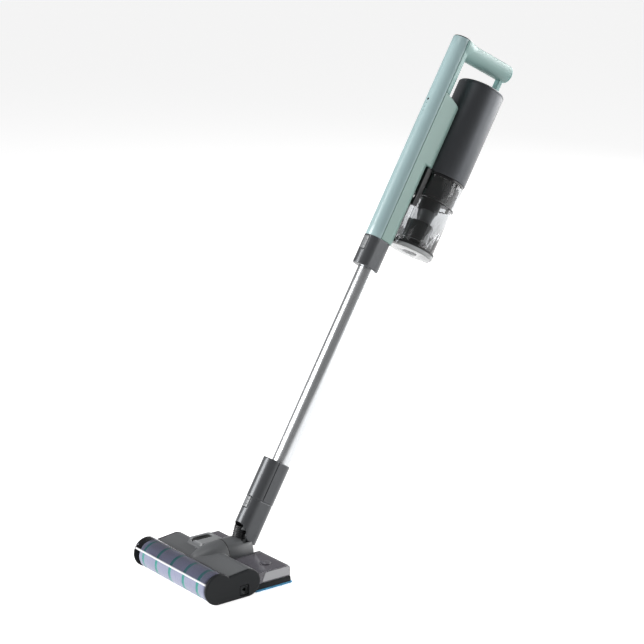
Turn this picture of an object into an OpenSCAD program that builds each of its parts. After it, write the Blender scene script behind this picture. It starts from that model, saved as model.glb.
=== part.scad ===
// Cordless stick vacuum with a microfibre roller head, a mop tank and a bagless dust cup.
// Origin: centre of the mop pad's underside. +X across the head, +Y rearwards, +Z up.

/* [Stick] */
// Backward lean of the stick at rest, in degrees
lean = 30.9; // [25:0.1:35]
// Half width of the flat-sided sleeve, collar and spine
half_w = 19.5; // [18.5:0.1:20]
// Outer radius of the extension tube
tube_r = 17; // [16:0.1:17.2]
// Height of the lower sleeve's top above the pitch pivot, along the stick
sleeve_top = 139; // [130:1:150]
// Height of the upper collar's lower end
collar_low = 533; // [500:1:540]
// Height of the green spine's lower end
spine_low = 591; // [585:1:600]
// Height of the spine's top
spine_top = 1005; // [1000:1:1020]

/* [Body] */
// Distance of the motor and dust-cup axis behind the stick axis
body_off = 79.1; // [79:0.1:80]
// Outer radius of the motor housing
motor_r = 46.4; // [46:0.1:47]
// Height of the motor housing's lower end
motor_low = 757; // [750:1:760]
// Height of the motor housing's top
motor_top = 949; // [945:1:955]
// Outer radius of the dust cup's lower part
cup_r = 42.6; // [42:0.1:43]
// Height of the dust cup's lower end
cup_low = 612; // [605:1:620]

/* [Grip] */
// Outer radius of the hand grip
grip_r = 18.3; // [17:0.1:18.5]
// Upward tilt of the grip towards its rear end, in degrees
grip_tilt = 6.5; // [4:0.1:8]
// Length from the stick axis to the grip's end cap
grip_len = 118; // [116:0.5:120]

/* [Head] */
// Width of the head over its two side caps
head_w = 240; // [230:1:260]
// Radius of the round front of the head, over the roller
lobe_r = 27.8; // [27.5:0.1:28.2]
// Radius of the microfibre roller
roller_r = 26.1; // [24:0.1:26.2]
// Length of the mop pad, front to back
pad_len = 82; // [76:1:84]

/* [Hidden] */
$fn = 48;

gap = 0.1;
run_fit = 0.05;
wall = 2.2;
// how far a cutting shape runs past the face that it opens
past = 1;
// length of a cutting shape that passes right through
through = 200;

// pitch pivot of the neck, and the swivel barrel's axis height
pivot_y = 25;
pivot_z = 64;
barrel_z = 38;
barrel_r = 27.5;
barrel_front = -35.7;
barrel_rear = 15.5;
spigot_r = 18;
bore_r = 15.5;
swing_r = 28;
pin_r = 3;
ear_x = 13.7;
ear_t = 3;
ear_r = 6;
ear_arm = 8;
ear_turn = 202;
spigot_y = -58;
boss_r = 22;
boss_y = -54;
boss_fit = 0.3;

// head outline, seen from the side
cap_x = head_w / 2;
cap_t = 4.8;
body_x = cap_x - cap_t;
roller_y = -121.5;
lobe_z = lobe_r + 0.6;
roller_z = roller_r + 1.6;
rear_y = -59.5;
rear_z = 26;
rear_r = 25;
notch_y = -100.5;
notch_z = 46.6;
chamber_r = lobe_r + 0.2;
chamber_wall = 2;
sole_t = 2.4;
sole_z = 1.2;
sole_front = -95;
sole_rear = -45;
dome_len = 66;
dome_low = 46;
mouth_w = 40;
window_t = 1.2;
lip_r = 0.9;
lip_turn = 153;

// roller, belt and brush motor
roller_x0 = -104;
roller_x1 = 110;
core_r = 19;
spindle_r = 4;
pulley_r = 10;
pulley_x = -111;
pulley_w = 5;
motor_y = -66;
motor_z = 31;
motor_pulley_r = 6.5;
shaft_r = 2;
belt_t = 1.5;
belt_gap = 0.3;
motor_x0 = -96;
motor_x1 = -40;
brush_motor_r = 12;
duct_w = 44;

// wheels
wheel_x = 78;
wheel_y = -76;
wheel_r = 7.5;
wheel_w = 8;
axle_r = 1.5;
axle_l = 14;
wheel_z = wheel_r + 0.4;

// side button and tank catch
button_y = -69.5;
button_z = 15;
button_side = 19;
deck_x = -46;
deck_y = -47;
deck_z = 59;
deck_low = 44;
deck_l = 46;
deck_w = 40;
oval_l = 38;
oval_w = 15;
oval_depth = 11.5;

// water tank
tank_x = 112;
tank_front = -33.6;
tank_rear = 36;
tank_top = 35.6;
tank_seam = 13.8;
tank_low = 3.8;
tank_wall = 1.8;
valley_r = 22.5;
filler_x = 80;
filler_y = 4;
filler_r = 8;
pad_x = 113;
pad_t = 3.6;
barrel_room = barrel_r + 1;
valley_y = 17;
lobe_room = rear_r + 0.8;

// sleeve, hose and collar, in stick heights
sleeve_front = -36.6;
sleeve_rear = 18.9;
sleeve_low = -17.3;
socket_low = 66;
hose_r = 12;
hose_n = -22.4;
hose_tilt = 17.9;
cuff_low = 3.4;
cuff_len = 11.1;
sleeve_t = 2.5;
tube_fit = 0.05;
collar_front = -32.5;
collar_rear = 21.6;
sleeve_button_h = 51.5;
collar_button_h = 575.5;
tube_t = 1.5;
tube_top = 578;

// spine and motor body
spine_front = -31.8;
spine_rear = 25;
spine_c = spine_front + half_w;
seam_n = -14;
step_h = 899;
step_slope = 15;
shell_t = 2.2;
skin = shell_t + gap;
panel_t = 2.2;
key_len = 3.3;
power_n = spine_c - 4;
power_r = 6;
mode_n = spine_c + 9;
mode_r = 3.5;
light_h = 871;
light_step = 8;
port_h = 700;
port_r = 12;
bend_h = 686;
cell_low = 716;
board_low = 925;
grip_h = 989;
strut_n = 110.9;
motor_t = 2.4;
cup_t = 1.8;
cup_neck_low = 704;
cup_neck_r = 45;
hinge_n = 29.5;
hinge_h = 606.5;
lid_r = 45.2;
lid_low = cup_low - 10;
lid_t = 7.8;
duct_low = 681;
cell_r = 9;
cell_l = 65;
cell_step = cell_l + 2;

// inside of the dust cup, in stick heights
mesh_low = 689;
cone_low = 666;
skirt_low = 628;
latch_low = 706;
lug_w = 3.6;
lug_x = [-13, 9.4];
hub_r = 11.9;
hinge_pin_r = 1.5;

// places children in the stick's frame: X across, Y rearwards, Z up the stick
module on_stick() {
    translate([0, pivot_y, pivot_z])
        rotate([-lean, 0, 0])
            children();
}

// places children on the motor and dust-cup axis, at a stick height
module on_body(h) {
    on_stick()
        translate([0, body_off, h])
            children();
}

// extrudes an outline drawn as (y, z) from x0 to x1
module along_x(x0, x1) {
    translate([x0, 0, 0])
        rotate([90, 0, 90])
            linear_extrude(x1 - x0)
                children();
}

// a cylinder along X between two x values
module rod_x(x0, x1, y, z, r) {
    translate([x0, y, z])
        rotate([0, 90, 0])
            cylinder(r = r, h = x1 - x0);
}

// a cylinder along Y on the swivel axis between two y values
module rod_y(y0, y1, r) {
    translate([0, y1, barrel_z])
        rotate([90, 0, 0])
            cylinder(r = r, h = y1 - y0);
}

// a flat ring standing on z = 0
module ring(r_out, r_in, h) {
    difference() {
        cylinder(r = r_out, h = h);
        translate([0, 0, -1])
            cylinder(r = r_in, h = h + 2);
    }
}

// a block with its four upright edges rounded
module rounded_block(size, r) {
    linear_extrude(size[2])
        rounded_rect(size[0], size[1], r);
}

module rounded_rect(w, l, r) {
    square([w - 2 * r, l], center = true);
    square([w, l - 2 * r], center = true);
    for (sx = [-1, 1], sy = [-1, 1])
        translate([sx * (w / 2 - r), sy * (l / 2 - r)])
            circle(r);
}

// stadium between a front and a rear coordinate
module stadium(front, rear, r) {
    translate([0, front + r])
        circle(r);
    translate([0, rear - r])
        circle(r);
    translate([-r, front + r])
        square([2 * r, rear - front - 2 * r]);
}

// the head's outline over both lobes
module head_outline() {
    translate([roller_y, lobe_z])
        circle(lobe_r);
    cover_outline();
    polygon([[roller_y, lobe_z - lobe_r], [rear_y, rear_z - rear_r], [rear_y, rear_z], [roller_y, lobe_z]]);
}

// the part of the outline behind the roller
module cover_outline() {
    translate([rear_y, rear_z])
        circle(rear_r);
    polygon([[-107, 2], [rear_y, rear_z - rear_r], [rear_y, rear_z + rear_r],
        [notch_y, notch_z], [notch_y, 20]]);
}

module cavity_outline() {
    difference() {
        union() {
            translate([rear_y, rear_z])
                circle(rear_r - wall);
            polygon([[sole_front, -1], [sole_rear, -1], [sole_rear, rear_z],
                [rear_y, rear_z + rear_r - wall], [notch_y, notch_z - wall], [sole_front, 20]]);
        }
        translate([roller_y, lobe_z])
            circle(chamber_r + chamber_wall);
    }
}

module dome() {
    translate([0, barrel_front - boss_fit, barrel_z])
        rotate([90, 0, 0])
            rotate_extrude()
                polygon([[0, 0], for (t = [0:6:90]) [barrel_r * cos(t), dome_len * sin(t)]]);
}

module latch_deck() {
    translate([deck_x, deck_y, deck_low])
        rounded_block([deck_w, deck_l, deck_z - deck_low], 6);
}

module oval(l, w, h) {
    linear_extrude(h)
        union() {
            square([w, l - w], center = true);
            for (s = [-1, 1])
                translate([0, s * (l - w) / 2])
                    circle(w / 2);
        }
}

module head_housing() {
    color("#6b6c6e")
        difference() {
            union() {
                difference() {
                    union() {
                        along_x(-body_x, body_x)
                            cover_outline();
                        latch_deck();
                    }
                    along_x(-body_x + wall, body_x - wall)
                        cavity_outline();
                }
                intersection() {
                    dome();
                    translate([-40, -130, dome_low])
                        cube([80, 100, 40]);
                }
                rod_y(boss_y, barrel_front - boss_fit, boss_r);
            }
            along_x(-body_x - past, body_x + past)
                translate([roller_y, lobe_z])
                    circle(chamber_r);
            rod_y(spigot_y - 2, 0, spigot_r + run_fit);
            rod_y(spigot_y - 3, boss_y - 0.2, boss_r + 0.4);
            rod_y(barrel_front, 0, barrel_r + 0.8);
            // mouth of the suction path behind the roller
            translate([-mouth_w / 2, -105, 12])
                cube([mouth_w, 20, 20]);
            // belt slot
            translate([pulley_x - 0.5, -115, 14])
                cube([pulley_w + 1, 50, 30]);
            // room behind the side button
            translate([body_x - wall - past, button_y - 11, button_z - 11])
                cube([wall + 2, 22, 22]);
            translate([deck_x, deck_y, deck_z - oval_depth])
                oval(oval_l, oval_w, 20);
        }
}

module sole_plate() {
    color("#2b2d2d")
        difference() {
            translate([-body_x + wall + gap, sole_front + gap, sole_z])
                cube([2 * (body_x - wall - gap), sole_rear - sole_front - 2 * gap, sole_t]);
            along_x(-body_x, body_x)
                translate([roller_y, lobe_z])
                    circle(chamber_r + chamber_wall + gap);
            for (s = [-1, 1])
                translate([s * wheel_x - 6, wheel_y - 10, 0])
                    cube([12, 20, 5]);
        }
}

// side cap plate, drawn for the right side
module cap_plate() {
    along_x(body_x + gap, cap_x)
        head_outline();
}

module side_cap_left() {
    color("#2b2d2d") {
        mirror([1, 0, 0])
            cap_plate();
        rod_x(-body_x - gap, -96, roller_y, roller_z, spindle_r);
    }
}

module side_cap_right() {
    color("#2b2d2d")
        difference() {
            union() {
                cap_plate();
                rod_x(100, body_x + gap, roller_y, roller_z, spindle_r);
            }
            translate([body_x - 1, button_y, button_z])
                rotate([90, 0, 90])
                    rounded_block([button_side + 0.6, button_side + 0.6, 8], 4);
        }
}

module cap_release_button() {
    color("#232525")
        difference() {
            translate([body_x - 0.6, button_y, button_z])
                rotate([90, 0, 90])
                    rounded_block([button_side, button_side, 4.4], 3.7);
            rod_x(cap_x - 3, cap_x + 1, button_y + 3.5, button_z, 4.5);
        }
}

module roller_window() {
    color([0.8, 0.82, 0.88, 0.4])
        along_x(-body_x + gap, body_x - gap) {
            difference() {
                translate([roller_y, lobe_z])
                    circle(lobe_r);
                translate([roller_y, lobe_z])
                    circle(lobe_r - window_t);
                translate([roller_y, lobe_z])
                    polygon([[0, 0], [-60, 30.6], [-60, -60], [60, -60], [60, 53.6]]);
            }
            translate([roller_y, lobe_z])
                rotate(lip_turn)
                    translate([lobe_r - 0.4, 0])
                        circle(lip_r);
        }
}

module suction_duct() {
    color("#3a3b3c")
        difference() {
            along_x(-duct_w / 2, duct_w / 2)
                polygon([[-98, 14], [-61.2, 14], [-61.2, 46], [-91, 46], [-91, 30]]);
            along_x(-duct_w / 2 - past, duct_w / 2 + past)
                translate([roller_y, lobe_z])
                    circle(chamber_r + chamber_wall + gap);
            along_x(-mouth_w / 2, mouth_w / 2)
                polygon([[-106, 16], [-70, 16], [-70, 44], [-91, 44]]);
            rod_y(-72, -60, bore_r);
            along_x(-duct_w / 2 - past, duct_w / 2 + past)
                polygon([[-100, 44.5], [-61, 48], [-60, 60], [-100, 60]]);
        }
}

module brush_motor() {
    color("#9a9c9e")
        difference() {
            rod_x(motor_x0, motor_x1, motor_y, motor_z, brush_motor_r);
            rod_x(motor_x0 - past, -80, motor_y, motor_z, shaft_r + run_fit);
        }
}

module belt_outline(grow) {
    hull() {
        translate([roller_y, roller_z])
            circle(pulley_r + grow);
        translate([motor_y, motor_z])
            circle(motor_pulley_r + grow);
    }
}

module drive_belt() {
    color("#151515")
        along_x(pulley_x + 0.5, pulley_x + pulley_w - 0.5)
            difference() {
                belt_outline(belt_gap + belt_t);
                belt_outline(belt_gap);
            }
}

module motor_pulley() {
    color("#d8d8d0") {
        rod_x(pulley_x, pulley_x + pulley_w, motor_y, motor_z, motor_pulley_r);
        rod_x(pulley_x + pulley_w, -82, motor_y, motor_z, shaft_r);
    }
}

module roller_core() {
    color("#3a3b3c")
        difference() {
            union() {
                rod_x(roller_x0, roller_x1, roller_y, roller_z, core_r);
                rod_x(pulley_x, roller_x0, roller_y, roller_z, pulley_r);
            }
            rod_x(roller_x0 + 10, roller_x1 - 10, roller_y, roller_z, core_r - 2.5);
            rod_x(pulley_x - 1, roller_x0 + 11, roller_y, roller_z, spindle_r + run_fit);
            rod_x(roller_x1 - 11, roller_x1 + 1, roller_y, roller_z, spindle_r + run_fit);
        }
}

module roller_sleeve() {
    color("#a9aec4")
        difference() {
            rod_x(roller_x0, roller_x1, roller_y, roller_z, roller_r);
            rod_x(roller_x0 - 1, roller_x1 + 1, roller_y, roller_z, core_r);
        }
}

module wheel(side) {
    x = side * wheel_x;
    color("#232525")
        difference() {
            rod_x(x - wheel_w / 2, x + wheel_w / 2, wheel_y, wheel_z, wheel_r);
            rod_x(x - wheel_w, x + wheel_w, wheel_y, wheel_z, axle_r + run_fit);
        }
}

module wheel_left() {
    wheel(-1);
}

module wheel_right() {
    wheel(1);
}

module wheel_axles() {
    color("silver")
        for (s = [-1, 1])
            rod_x(s * wheel_x - axle_l / 2, s * wheel_x + axle_l / 2, wheel_y, wheel_z, axle_r);
}

// room for the swivel barrel and for the sleeve behind it
module valley() {
    rod_y(-60, valley_y, barrel_room);
    rod_y(valley_y - past, 60, valley_r);
}

module tank_outline(t) {
    difference() {
        union() {
            polygon([[tank_front + t - 3, tank_seam + t], [tank_rear - t, tank_seam + t],
                [29.5 - t, 29.6 - t], [23, tank_top - t], [tank_front + t - 3, tank_top - t]]);
            translate([23, tank_top - 7.2])
                circle(7.2 - t);
        }
        translate([rear_y, rear_z])
            circle(lobe_room + t);
    }
}

module tank_shell() {
    color([0.45, 0.45, 0.5, 0.5])
        difference() {
            along_x(-tank_x, tank_x)
                tank_outline(0);
            valley();
            difference() {
                along_x(-tank_x + tank_wall, tank_x - tank_wall)
                    tank_outline(tank_wall);
                rod_y(-60, valley_y + tank_wall, barrel_room + tank_wall);
                rod_y(valley_y - past, 60, valley_r + tank_wall);
            }
            translate([filler_x, filler_y, tank_top - 5])
                cylinder(r = filler_r, h = 10);
        }
}

module tank_base() {
    color("#2b2d2d")
        difference() {
            along_x(-tank_x + 0.5, tank_x - 0.5)
                polygon([[-40, tank_low], [tank_rear + 1, tank_low], [tank_rear + 1, 7],
                    [tank_rear, tank_seam - gap], [-35, tank_seam - gap], [-37, 8]]);
            valley();
            along_x(-tank_x, tank_x)
                translate([rear_y, rear_z])
                    circle(lobe_room);
        }
}

module mop_pad() {
    color("#2b8fbf")
        rounded_block([2 * pad_x, pad_len, pad_t], 6);
}

module filler_cap() {
    color("#2b2d2d")
        translate([filler_x, filler_y, tank_top + gap]) {
            cylinder(r = filler_r + 2, h = 1.6);
            translate([0, 0, -3])
                cylinder(r = filler_r - 0.3, h = 3);
        }
}

module tank_release_button() {
    color("#151515")
        translate([deck_x, deck_y, deck_z - 8.5])
            oval(oval_l - 0.8, oval_w - 0.8, 5);
}

// line of the hose: through the barrel's bore and up into the sleeve
module on_hose() {
    on_stick()
        translate([0, hose_n, -2])
            rotate([lean - hose_tilt, 0, 0])
                children();
}

module swivel_barrel() {
    color("#4a4b4c")
        difference() {
            union() {
                rod_y(barrel_front, barrel_rear, barrel_r);
                rod_y(spigot_y, barrel_front, spigot_r);
                yoke_ears();
            }
            rod_y(spigot_y - 2, -1, bore_r);
            on_hose()
                translate([0, 0, -34])
                    cylinder(r = hose_r + 0.3, h = 50);
            difference() {
                rod_x(-half_w - 0.8, half_w + 0.8, pivot_y, pivot_z, swing_r);
                yoke_ears();
            }
            rod_x(-18, 18, pivot_y, pivot_z, pin_r + run_fit);
        }
}

module yoke_ears() {
    for (s = [-1, 1])
        along_x(s * ear_x - ear_t / 2, s * ear_x + ear_t / 2) {
            translate([pivot_y, pivot_z])
                circle(ear_r);
            translate([pivot_y, pivot_z])
                rotate(ear_turn)
                    translate([0, -ear_arm / 2])
                        square([swing_r + 4, ear_arm]);
        }
}

module swivel_clip() {
    color("#8c6f3a")
        translate([0, -55, barrel_z])
            rotate([90, 0, 0])
                ring(21.8, spigot_r, 2);
}

module neck_hose() {
    color("#151515")
        on_hose()
            translate([0, 0, -27])
                ring(hose_r, hose_r - 1.5, 33);
}

module hose_cuff() {
    color("#6b6c6e")
        intersection() {
            on_hose()
                translate([0, 0, cuff_low])
                    ring(hose_r + 2.6, hose_r + 0.3, cuff_len);
            on_stick()
                translate([0, 0, -10])
                    linear_extrude(60)
                        stadium(sleeve_front + 2.6, sleeve_rear - 2.6, half_w - 2.6);
        }
}

// block across the front of a stadium, from a depth behind its front outwards
module front_block(front, h, w, l, depth, r) {
    translate([0, front + depth, h])
        rotate([90, 0, 0])
            rounded_block([w, l, depth + 5], r);
}

module latch_button(front, rear, h, w, l) {
    on_stick()
        intersection() {
            front_block(front, h, w, l, 5, 1.5);
            translate([0, 0, h - 30])
                linear_extrude(60)
                    stadium(front + 0.3, rear, half_w - 0.3);
        }
}

module lower_sleeve() {
    color("#5a5b5c")
        on_stick()
            difference() {
                translate([0, 0, sleeve_low])
                    linear_extrude(sleeve_top - sleeve_low)
                        stadium(sleeve_front, sleeve_rear, half_w);
                translate([0, 0, sleeve_low - past])
                    linear_extrude(30 - sleeve_low)
                        stadium(sleeve_front + sleeve_t, sleeve_rear - sleeve_t, half_w - sleeve_t);
                cylinder(r = bore_r, h = through);
                translate([0, 0, socket_low])
                    cylinder(r = tube_r + tube_fit, h = through);
                rod_x(-30, 30, -42, -11, 22.5);
                along_x(-30, 30)
                    polygon([[-40, -30], [-6.4, -17.3], [-19.5, -10], [-40, -5]]);
                along_x(-30, 30)
                    polygon([[-40, -30], [-6.4, -30], [-6.4, -17.3]]);
                front_block(sleeve_front, sleeve_button_h, 13.6, 21.6, 8, 1.8);
                rod_x(-30, 30, 0, 0, pin_r);
            }
}

module pivot_pins() {
    color("silver")
        on_stick()
            for (s = [-1, 1])
                rod_x(s * 15.5 - 3.7, s * 15.5 + 3.7, 0, 0, pin_r);
}

module sleeve_button() {
    color("#77797a")
        latch_button(sleeve_front, sleeve_rear, sleeve_button_h, 13, 21);
}

module extension_tube() {
    color("#c8cacc")
        on_stick()
            translate([0, 0, socket_low + gap])
                ring(tube_r, tube_r - tube_t, tube_top - socket_low - gap);
}

module upper_collar() {
    color("#5a5b5c")
        on_stick()
            difference() {
                translate([0, 0, collar_low])
                    linear_extrude(spine_low - collar_low - gap)
                        stadium(collar_front, collar_rear, half_w);
                translate([0, 0, collar_low - past])
                    cylinder(r = tube_r + tube_fit, h = tube_top - collar_low + past + gap);
                translate([0, 0, collar_low])
                    cylinder(r = bore_r, h = through);
                front_block(collar_front, collar_button_h, 14.6, 26.6, 8, 1.8);
            }
}

module collar_button() {
    color("#77797a")
        latch_button(collar_front, collar_rear, collar_button_h, 14, 26);
}

// shell of the spine between two heights, split at the seam
module spine_shell(low, high, rear, front_side) {
    translate([0, 0, low])
        linear_extrude(high - low)
            intersection() {
                difference() {
                    stadium(spine_front, rear, half_w);
                    stadium(spine_front + shell_t, rear - shell_t, half_w - shell_t);
                }
                translate([-50, front_side ? -100 : seam_n + gap])
                    square([100, front_side ? 100 + seam_n : 150]);
            }
}

module spine_front_shell() {
    color("#a3c4c5")
        on_stick()
            difference() {
                spine_shell(spine_low, spine_top, spine_rear, true);
                translate([0, spine_front, light_h])
                    rotate([90, 0, 0])
                        cylinder(r = 2.3, h = 10, center = true);
                for (i = [1:3])
                    translate([0, spine_front, light_h - light_step * i])
                        rotate([90, 0, 0])
                            cylinder(r = 0.9, h = 10, center = true);
            }
}

module indicator_lenses() {
    color("#101214")
        on_stick() {
            translate([0, spine_front + 2, light_h])
                rotate([90, 0, 0])
                    cylinder(r = 2.2, h = 2.1);
            for (i = [1:3])
                translate([0, spine_front + 2, light_h - light_step * i])
                    rotate([90, 0, 0])
                        cylinder(r = 0.8, h = 2.1);
        }
}

module above_step(up) {
    translate([0, seam_n, step_h])
        rotate([-step_slope, 0, 0])
            translate([-100, -100, up ? 0 : -400])
                cube([200, 300, 400]);
}

module spine_rear_cover() {
    color("#9ab6af")
        on_stick()
            difference() {
                union() {
                    spine_shell(spine_low, step_h + 5, spine_rear, false);
                    translate([0, 0, motor_low + 1])
                        linear_extrude(step_h - motor_low)
                            translate([-half_w, spine_rear - half_w])
                                square([2 * half_w, 36 - spine_rear + half_w]);
                    translate([-half_w + 1, -4, step_h - 16])
                        cube([2 * half_w - 2, 28, 10]);
                }
                translate([0, 0, motor_low - 1])
                    linear_extrude(step_h - 14 - motor_low)
                        stadium(spine_front + shell_t, spine_rear - shell_t, half_w - shell_t);
                translate([0, body_off, 500])
                    cylinder(r = motor_r + gap, h = 600);
                above_step(true);
                translate([0, spine_rear, port_h])
                    rotate([90, 0, 0])
                        cylinder(r = port_r, h = 20, center = true);
            }
}

module air_duct() {
    color("#3a3b3c")
        on_stick()
            difference() {
                union() {
                    translate([0, 0, spine_low])
                        cylinder(r = bore_r + 1.5, h = 90);
                    translate([0, 0, bend_h])
                        sphere(r = bore_r + 1.5);
                    intersection() {
                        translate([0, spine_rear, port_h])
                            rotate([90, 0, 0])
                                cylinder(r = port_r + 1.5, h = 22);
                        translate([0, 0, 600])
                            linear_extrude(through)
                                stadium(spine_front + skin, spine_rear - skin, half_w - skin);
                    }
                }
                translate([0, 0, spine_low - 1])
                    cylinder(r = bore_r, h = 92);
                translate([0, 0, bend_h])
                    sphere(r = bore_r);
                translate([0, spine_rear, port_h])
                    rotate([90, 0, 0])
                        cylinder(r = port_r, h = 25);
            }
}

module battery_cells() {
    color("#3f6fae")
        on_stick() {
            for (i = [0, 1])
                translate([0, 8, cell_low + i * cell_step])
                    cylinder(r = cell_r, h = cell_l);
            for (i = [0:2])
                translate([0, -14, cell_low + i * cell_step])
                    cylinder(r = cell_r, h = cell_l);
        }
}

module circuit_board() {
    color("#2d6b3f")
        on_stick()
            translate([-11, -13, board_low])
                cube([22, 1.6, 72]);
}

module control_panel() {
    color("#1c1e1f")
        on_stick()
            difference() {
                translate([0, spine_c, spine_top - 6])
                    union() {
                        cylinder(r = half_w - skin, h = 6);
                        translate([0, 0, 6])
                            cylinder(r1 = half_w, r2 = half_w - 1.4, h = panel_t);
                    }
                translate([0, power_n, spine_top - 2])
                    cylinder(r = power_r + 0.3, h = 20);
                translate([0, mode_n, spine_top - 2])
                    cylinder(r = mode_r + 0.3, h = 20);
            }
}

module power_button() {
    color("#77797a")
        on_stick()
            translate([0, power_n, spine_top - 0.4])
                cylinder(r = power_r, h = key_len);
}

module mode_button() {
    color("#77797a")
        on_stick()
            translate([0, mode_n, spine_top - 0.4])
                cylinder(r = mode_r, h = key_len);
}

// the grip's axis: Z runs out along the grip from the stick axis
module on_grip() {
    on_stick()
        translate([0, 0, grip_h])
            rotate([-90 + grip_tilt, 0, 0])
                children();
}

module grip_shell() {
    color("#a3c4c5")
        difference() {
            union() {
                on_stick()
                    difference() {
                        translate([0, spine_c, step_h - 14])
                            cylinder(r = half_w, h = spine_top - step_h + 14);
                        translate([-50, -100 + seam_n + gap, step_h - 20])
                            cube([100, 100, 200]);
                        above_step(false);
                    }
                on_grip()
                    cylinder(r = grip_r, h = grip_len);
            }
            on_stick()
                translate([0, spine_c, 600])
                    cylinder(r = half_w - shell_t, h = 500);
            on_stick()
                translate([-50, -100 + seam_n + gap, 900])
                    cube([100, 100, 200]);
            // room for the control panel on the spine's top
            on_stick()
                translate([0, spine_c, spine_top])
                    cylinder(r = half_w + 0.3, h = 20);
            on_grip()
                translate([0, 0, 4])
                    cylinder(r = grip_r - 2.5, h = grip_len);
        }
}

module grip_end_cap() {
    color("#7fa3a1")
        on_grip()
            translate([0, 0, grip_len + gap]) {
                cylinder(r = grip_r - 0.4, h = 3);
                translate([0, 0, 3])
                    cylinder(r1 = grip_r - 0.4, r2 = grip_r - 2, h = 1.4);
            }
}

module grip_strut() {
    color("#8fb3b1")
        difference() {
            on_stick()
                translate([0, strut_n, motor_top + gap])
                    rounded_block([13, 11.1, 50], 2.2);
            on_grip()
                translate([0, 0, -50])
                    cylinder(r = grip_r + gap, h = 300);
        }
}

module motor_housing() {
    color("#47494a")
        on_body(motor_low)
            ring(motor_r, motor_r - motor_t, motor_top - motor_low - 5);
}

module motor_top_cap() {
    color("#3a3b3c")
        on_body(motor_top - 5)
            difference() {
                union() {
                    translate([0, 0, gap])
                        cylinder(r = motor_r, h = 3);
                    translate([0, 0, 3])
                        cylinder(r1 = motor_r, r2 = motor_r - 1.8, h = 2);
                }
                for (i = [-3:3])
                    translate([i * 7 - 1.5, -26, -1])
                        cube([3, 44, 10]);
            }
}

module suction_motor() {
    color("#8c8f92")
        on_body(motor_low + 44)
            difference() {
                union() {
                    cylinder(r = 33, h = 52);
                    cylinder(r = motor_r - motor_t - gap, h = 3);
                }
                translate([0, 0, -1])
                    cylinder(r = 3 + run_fit, h = 12);
            }
}

module impeller() {
    color("#d8d8d0")
        on_body(motor_low + 27) {
            cylinder(r = 28, h = 2);
            for (a = [0:45:315])
                rotate(a)
                    translate([6, -0.8, 2])
                        cube([20, 1.6, 10]);
            cylinder(r = 6.5, h = 12);
            cylinder(r = 3, h = 26);
        }
}

module exhaust_filter() {
    color("#e8e8e4")
        on_body(motor_top - 38)
            ring(motor_r - motor_t - gap, 24, 30);
}

module inlet_duct() {
    color("#17181a")
        on_stick()
            difference() {
                translate([-15, spine_rear + gap, duct_low])
                    cube([30, 24, motor_low - duct_low - gap]);
                translate([0, body_off, 500])
                    cylinder(r = cup_neck_r + 0.5, h = 600);
                translate([0, spine_rear + 10, port_h])
                    rotate([90, 0, 0])
                        cylinder(r = port_r - 1, h = 30, center = true);
            }
}

module cup_shell() {
    color([0.85, 0.87, 0.9, 0.35])
        on_body(cup_low)
            difference() {
                union() {
                    cylinder(r = cup_r, h = cup_neck_low - cup_low);
                    translate([0, 0, cup_neck_low - cup_low])
                        cylinder(r = cup_neck_r, h = motor_low - cup_neck_low - 6);
                    for (x = lug_x)
                        translate([x, hinge_n - 2.6 - body_off, hinge_h - 2.6 - cup_low])
                            cube([lug_w, 5, 13]);
                    for (x = lug_x)
                        translate([x, hinge_n - body_off, gap])
                            cube([lug_w, 10, lid_t]);
                }
                translate([0, 0, -1])
                    cylinder(r = cup_r - cup_t, h = 300);
                translate([0, 0, cup_neck_low - cup_low + 2])
                    cylinder(r = cup_neck_r - cup_t, h = 300);
                translate([0, -cup_r, 702 - cup_low])
                    rotate([90, 0, 0])
                        cylinder(r = 9, h = 12, center = true);
                rod_x(-20, 20, hinge_n - body_off, hinge_h - cup_low, hinge_pin_r);
            }
}

module cup_collar() {
    color("#17181a")
        on_body(motor_low - 6 + gap)
            ring(cup_neck_r, 30, 5.5);
}

module filter_frame() {
    color("#1c1e1f")
        on_body(cup_neck_low + 6)
            difference() {
                ring(37.5, 21.5, motor_low - cup_neck_low - 12 - gap);
                translate([-10, -50, -1])
                    cube([20, 30, 12]);
            }
}

module cyclone_mesh() {
    color("#232525")
        on_body(mesh_low)
            ring(20.5, 18.5, 60);
}

module cyclone_cone() {
    color("#6b6c6e")
        on_body(cone_low)
            difference() {
                cylinder(r1 = 13.8, r2 = 18, h = mesh_low - cone_low - gap);
                translate([0, 0, -1])
                    cylinder(r1 = 11.8, r2 = 16.4, h = 25);
            }
}

module dust_skirt() {
    color("#1c1e1f")
        on_body(skirt_low)
            difference() {
                union() {
                    cylinder(r = 25, h = 36);
                    cylinder(r = 27.5, h = 4);
                    cylinder(r = 13, h = cone_low - skirt_low - gap);
                }
                translate([0, 0, -1])
                    cylinder(r = 22.5, h = 35);
            }
}

module cup_latch() {
    color("#17181a")
        on_body(latch_low)
            difference() {
                translate([-7, cup_neck_r + 0.4, 0])
                    cube([14, 3.6, 38]);
                for (i = [0:5])
                    translate([-8, cup_neck_r + 3.2, 9 + i * 4])
                        cube([16, 2, 1.6]);
            }
}

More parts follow.
